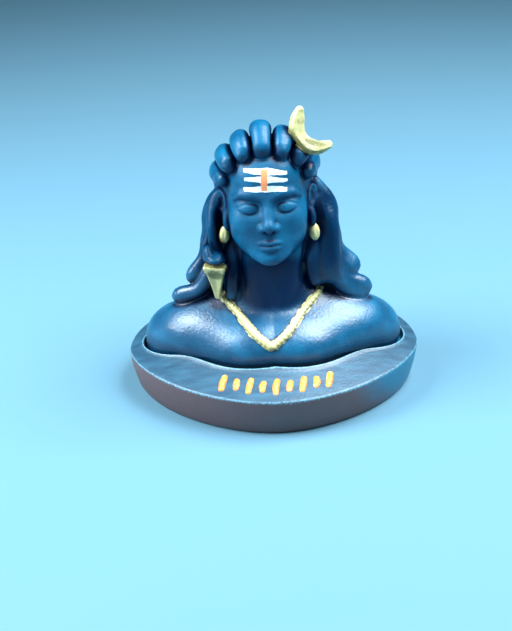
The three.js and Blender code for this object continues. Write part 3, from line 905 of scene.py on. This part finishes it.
# The second gold is darker, for random patches and for painted shade.
GOLD_LIT, GOLD_PATCH_AND_SHADE = (0.56, 0.52, 0.24), (0.2, 0.19, 0.07)
WHITE, RED, OCHRE = (0.85, 0.98, 1), (0.95, 0.32, 0.13), (0.8, 0.25, 0.03)
STRIPES = [(-1.4, 82, -0.07), (-1.3, 79.6, -0.04), (-1.4, 76.7, 0)]  # middle, height and slope of each
STRIPE_LENGTH, STRIPE_WIDTH, STRIPE_DROOP, STRIPE_TAPER = 13.4, 2.2, 0.012, 0.095
RED_MIDDLE, RED_HALF_WIDTH, RED_BOTTOM, RED_TOP = -1.9, 1.15, 75.9, 82.9
CHEST_SHADE_LOW, CHEST_SHADE_HIGH = 3 + RIM, 11 + RIM  # heights of the painted shade on the chest's foot: full at the first, fading out by the second
GLOSSY, DULLER = 26 + RIM, 42 + RIM  # heights between which the paint's shine fades
LOCK_SHADOW_LOW, LOCK_SHADOW_HIGH = 58 + RIM, 64 + RIM  # heights between which the navy painted shadow on the locks' ends at the hairline comes in
LOCK_SHADOW_BACK, LOCK_SHADOW_FRONT = -7, -11
REFLECTION_END, REFLECTION_START = 53, 38  # about how far across the wall's painted dark reflection reaches and where it starts to fade
MOON_LOW, MOON_HIGH = 84, 88  # heights between which the gold turns darker, towards the crescent's upper part

# Patches where the paint changes, most of them painted shade: each has its middle and how far it reaches
# along each axis.
SIDE_HAIR, SIDE_HAIR_REACH, SIDE_HAIR_SHADE_STRENGTH = (18.5, -4, 41 + RIM), (9, 11, 23), (0.54, 0.82)
EAR, EAR_REACH = (14, -2, 54 + RIM), (3.5, 5, 9)
CHIN_SHADOW, CHIN_SHADOW_REACH = (0, -9, 28 + RIM), (17, 14, 13)
HAIR_LINE, HAIR_LINE_REACH = HEAD_PLACE @ Vector((0, -10, 4.4)), (12.2, 1000, 10.3)
FACE, FACE_REACH = (-1, -14, 55 + RIM), (12, 8, 19)
MOON_FOOT_SHADE, MOON_FOOT_SHADE_REACH = MOON_PLACE @ Vector((0.8, -2, 0)), (6.5, 6, 3)
HOOD_RIM_SHADOW, HOOD_RIM_SHADOW_REACH = HOOD_PLACE @ Vector((0.3, -1, -2.7)), (3.4, 3, 2.6)


def on_side(place, side):
    return (side * place[0], *place[1:])


def forehead_marks(paint):
    """Masks of the three white stripes and of the red mark down their middle."""
    front = paint.step(paint.y, -10, -12)
    ragged = paint.math("MULTIPLY_ADD", paint.noise(2.6, 3), 0.9, -0.45)
    white = 0.0
    for middle, height, slope in STRIPES:
        side = paint.math("SUBTRACT", paint.x, middle)
        along = paint.math("ABSOLUTE", side)
        droop = paint.plus(paint.product(side, side, STRIPE_DROOP), side, -slope)
        up = paint.math("ADD", paint.math("SUBTRACT", paint.z, height), droop)
        taper = paint.math("MULTIPLY_ADD", along, -STRIPE_TAPER, STRIPE_WIDTH / 2)
        across = paint.math("SUBTRACT", paint.math("ABSOLUTE", paint.math("ADD", up, ragged)), taper)
        inside = paint.product(
            paint.step(across, 0.1, -0.1),
            paint.step(paint.math("ADD", along, ragged), STRIPE_LENGTH / 2 + 0.15, STRIPE_LENGTH / 2 - 0.15),
        )
        white = paint.math("MAXIMUM", white, inside)
    side = paint.math("ABSOLUTE", paint.math("ADD", paint.math("SUBTRACT", paint.x, RED_MIDDLE), ragged))
    red = paint.product(
        paint.step(side, RED_HALF_WIDTH, RED_HALF_WIDTH - 0.25),
        paint.step(paint.z, RED_BOTTOM, RED_BOTTOM + 0.4),
        paint.step(paint.math("ADD", paint.z, ragged), RED_TOP, RED_TOP - 0.4),
    )
    return paint.product(white, front), paint.product(red, front)


def figure_blue(paint, clouds, chin_shadow, side_hair_shade):
    """The blue of hair and skin, with navy painted shade in the hollows, low on the chest, under the chin,
    in the side hair, on the crown's locks along the hairline and in the creases of the lids and lips.
    """
    # Painted shade: navy in the hollows, deeper where a place lies deeper.
    hollow_shade = paint.varied(paint.step(paint.value_at("hollow"), 0.08, 0.62), clouds, 0.5)
    colour = paint.mix(paint.step(clouds, 0.3, 0.75), MID_BLUE, LIT_BLUE)
    colour = paint.mix(paint.step(hollow_shade, 0.15, 0.85), colour, NAVY)
    # Painted shade: navy low on the chest, just above the groove.
    foot = paint.step(paint.varied(paint.step(paint.z, CHEST_SHADE_HIGH, CHEST_SHADE_LOW), clouds, 0.6), 0.3, 1.1)
    colour = paint.mix(paint.product(foot, 0.7), colour, NAVY)
    # Painted shadow under the chin turns the throat navy.
    colour = paint.mix(chin_shadow, colour, NAVY)
    # Painted shade in the side hair: navy.
    for depth, share in zip(side_hair_shade, SIDE_HAIR_SHADE_STRENGTH):
        colour = paint.mix(paint.product(depth, share), colour, NAVY)
    # Painted shadow: the crown's locks turn navy at their lower ends, along the hairline.
    around = paint.varied(paint.near(HAIR_LINE, HAIR_LINE_REACH), clouds, 0.3)
    hairline_shadow = paint.product(
        paint.step(around, 0.98, 1.08),
        paint.step(around, 1.5, 1.2),
        paint.step(paint.y, LOCK_SHADOW_BACK, LOCK_SHADOW_FRONT),
        paint.step(paint.z, LOCK_SHADOW_LOW, LOCK_SHADOW_HIGH),
    )
    colour = paint.mix(paint.product(hairline_shadow, 0.8), colour, NAVY)
    # Painted shade in the creases of the closed lids and between the lips.
    return paint.mix(paint.value_at("crease_shade"), colour, NAVY)


def plinth_blue(paint, clouds):
    """The plinth's streaky top and its wall, which carries a painted dark brownish reflection but for the
    blue end on the figure's left.
    """
    streaks = paint.noise(1.2, 3, (14, 2, 1))
    top = paint.mix(paint.step(streaks, 0.3, 0.75), BAND_DARK, BAND_LIT)
    across = paint.math("ADD", paint.product(clouds, 14), paint.product(paint.z, 0.7))
    # Painted reflection: the wall is dark brownish-grey, fading to blue towards the figure's left.
    reflection_share = paint.step(paint.math("ADD", paint.x, across), REFLECTION_END, REFLECTION_START)
    wall = paint.mix(reflection_share, WALL_BLUE, WALL_REFLECTION)
    return paint.mix(paint.step(paint.z, RIM - 0.1, RIM - 0.5), top, wall)


def gloss(paint, chin_shadow, side_hair_shade):
    """How strongly the blue shines: less on the head, on the throat, in the hollows and in the side hair."""
    shine = paint.less(0.65, paint.step(paint.z, GLOSSY, DULLER), 0.4)
    shine = paint.less(shine, chin_shadow, 0.35)
    shine = paint.less(shine, paint.step(paint.value_at("hollow"), 0.5, 0.95), 0.35)
    for depth in side_hair_shade:
        shine = paint.less(shine, depth, 0.12)
    return paint.math("MAXIMUM", shine, 0.03)


def blue_roughness(paint, clouds):
    """How rough the blue is: more on the ears, the face and the plinth."""
    rough = paint.math("MULTIPLY_ADD", clouds, 0.2, 0.26)
    for side in (-1, 1):
        rough = paint.plus(rough, paint.step(paint.near(on_side(EAR, side), EAR_REACH), 1.2, 0.8), 0.3)
    rough = paint.plus(rough, paint.step(paint.near(FACE, FACE_REACH), 1.1, 0.7), 0.2)
    return paint.plus(rough, paint.value_at("plinth"), 0.12)


def blue_paint():
    """All that isn't gold or orange, with painted shade, a painted reflection on the plinth's wall, the
    forehead's marks, pale edges that are part wear and part painted highlight, and spilt gold.
    """
    paint = Paint("blue_paint")
    clouds = paint.noise(9, 3)
    # Painted shadow under the chin, down the throat.
    chin_shadow = paint.step(paint.varied(paint.near(CHIN_SHADOW, CHIN_SHADOW_REACH), clouds, 0.4), 1.15, 0.6)
    # Painted shade in the side hair between the face and the shoulders.
    side_hair_shade = []
    for side in (-1, 1):
        depth = paint.varied(paint.near(on_side(SIDE_HAIR, side), SIDE_HAIR_REACH), clouds, 0.5)
        side_hair_shade.append(paint.step(depth, 1.15, 0.6))
    figure = figure_blue(paint, clouds, chin_shadow, side_hair_shade)
    colour = paint.mix(paint.value_at("plinth"), figure, plinth_blue(paint, clouds))
    white, red = forehead_marks(paint)
    colour = paint.mix(white, colour, WHITE)
    colour = paint.mix(red, colour, RED)
    grain = paint.math("MULTIPLY_ADD", paint.noise(0.8, 3), 1.4, -0.9)
    rubbed_and_highlight = paint.math("ADD", paint.value_at("wear_and_highlight"), grain)
    # Pale edges of the plinth: part wear, part painted highlight.
    colour = paint.mix(paint.step(rubbed_and_highlight, 0.35, 0.9), colour, WEAR_AND_HIGHLIGHT)
    spill = paint.varied(paint.value_at("gold_gap"), paint.noise(2.4, 2), 1.6)
    colour = paint.mix(paint.step(spill, 0.3, 0.1), colour, GOLD_LIT)
    shine = gloss(paint, chin_shadow, side_hair_shade)
    paint.put(paint.shader.inputs["Specular IOR Level"], shine)
    paint.put(paint.shader.inputs["Coat Weight"], paint.product(shine, 0.18))
    paint.bump(paint.math("ADD", paint.noise(0.9, 4), paint.noise(4, 2)), 0.12)
    return paint.finish(colour, blue_roughness(paint, clouds))


def gold_paint():
    """Pale gold, darker in random patches and on the crescent's upper part, with painted shade in the
    hollows, at the crescent's foot and in the dish of the hood under its rim.
    """
    paint = Paint("gold_paint")
    patchy = paint.math("MULTIPLY_ADD", paint.noise(1.5, 4), 0.9, -0.5)
    # Painted shade in the hollows.
    patches_and_shade = paint.plus(patchy, paint.value_at("hollow"), 0.8)
    # Painted shade low on the crescent, at its foot.
    patches_and_shade = paint.plus(patches_and_shade, paint.step(paint.near(MOON_FOOT_SHADE, MOON_FOOT_SHADE_REACH), 1.2, 0.5), 0.4)
    patches_and_shade = paint.plus(patches_and_shade, paint.step(paint.z, MOON_LOW, MOON_HIGH), 0.13)
    # Painted shadow in the hood's dish under its rim.
    patches_and_shade = paint.plus(patches_and_shade, paint.step(paint.near(HOOD_RIM_SHADOW, HOOD_RIM_SHADOW_REACH), 1.1, 0.5), 0.6)
    colour = paint.mix(paint.step(patches_and_shade, 0.05, 0.65), GOLD_LIT, GOLD_PATCH_AND_SHADE)
    paint.bump(paint.noise(0.7, 3), 0.1)
    return paint.finish(colour, 0.38)


def orange_paint():
    """The strokes' orange, with pale gold in patches."""
    paint = Paint("orange_paint")
    colour = paint.mix(paint.step(paint.noise(1.1, 3), 0.45, 0.8), OCHRE, GOLD_LIT)
    paint.bump(paint.noise(0.6, 3), 0.1)
    return paint.finish(colour, 0.45)


cast = bpy.data.objects.new("shiva_bust_cast", cast_mesh())
bpy.context.scene.collection.objects.link(cast)
for material in (blue_paint(), gold_paint(), orange_paint()):
    cast.data.materials.append(material)
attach(cast, "root")
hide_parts(NODE)

# Camera
DOWN = math.radians(28)  # how steeply it looks down
ROLL = math.radians(-2)
CAMERA_PLACE = Vector((-5.8, -322.3, 196))
LENS, SENSOR = 60.6, 36  # millimetres
back = Vector((0, -math.cos(DOWN), math.sin(DOWN)))
level = Vector((1, 0, 0))
up = back.cross(level)
right = math.cos(ROLL) * level + math.sin(ROLL) * up
up = math.cos(ROLL) * up - math.sin(ROLL) * level
camera = bpy.data.objects.new("camera", bpy.data.cameras.new("camera"))
bpy.context.scene.collection.objects.link(camera)
turn = Matrix((right, up, back)).transposed()
camera.matrix_world = Matrix.Translation(CAMERA_PLACE * UNIT) @ turn.to_4x4()
camera.data.sensor_fit = "VERTICAL"
camera.data.sensor_height = SENSOR
camera.data.lens = LENS
camera.data.clip_start = 0.01
bpy.context.scene.camera = camera
bpy.context.scene.view_settings.view_transform = "Standard"

# Floor and light, in metres and watts
FLOOR = 2  # from the middle to each edge
FLOOR_BLUE, SKY_BLUE, LAMP_WHITE = (0.09, 0.21, 0.29, 1), (0.2, 0.65, 1, 1), (0.86, 0.95, 1)
SKY_STRENGTH = 0.12
corners = np.array([(-FLOOR, -FLOOR, 0), (FLOOR, -FLOOR, 0), (FLOOR, FLOOR, 0), (-FLOOR, FLOOR, 0)])
floor_mesh = mesh_of("floor", corners, np.array([[0, 1, 2, 3]]))
floor = bpy.data.objects.new("floor", floor_mesh)
floor_paint = bpy.data.materials.new("floor")
floor_paint.use_nodes = True
floor_shader = floor_paint.node_tree.nodes["Principled BSDF"]
floor_shader.inputs["Base Color"].default_value = FLOOR_BLUE
floor_shader.inputs["Roughness"].default_value = 0.8
floor_mesh.materials.append(floor_paint)
bpy.context.scene.collection.objects.link(floor)

world = bpy.data.worlds.new("studio")
world.use_nodes = True
sky = world.node_tree.nodes["Background"]
sky.inputs["Color"].default_value = SKY_BLUE
sky.inputs["Strength"].default_value = SKY_STRENGTH
bpy.context.scene.world = world


def lamp(name, place, aim, size, power):
    data = bpy.data.lights.new(name, "AREA")
    data.size = size
    data.energy = power
    data.color = LAMP_WHITE
    made = bpy.data.objects.new(name, data)
    made.location = place
    made.rotation_euler = (Vector(aim) - Vector(place)).to_track_quat("-Z", "Y").to_euler()
    bpy.context.scene.collection.objects.link(made)


lamp("key", place=(-0.36, -0.06, 0.45), aim=(0, 0, 0.05), size=0.26, power=6)
lamp("low", place=(-0.5, -0.1, 0.22), aim=(0, 0, 0.05), size=0.2, power=2)
lamp("second", place=(0.28, -0.02, 0.54), aim=(0, 0, 0.05), size=0.42, power=12)
lamp("fill", place=(-0.5, -0.6, 0.4), aim=(0, 0, 0.06), size=0.8, power=1)
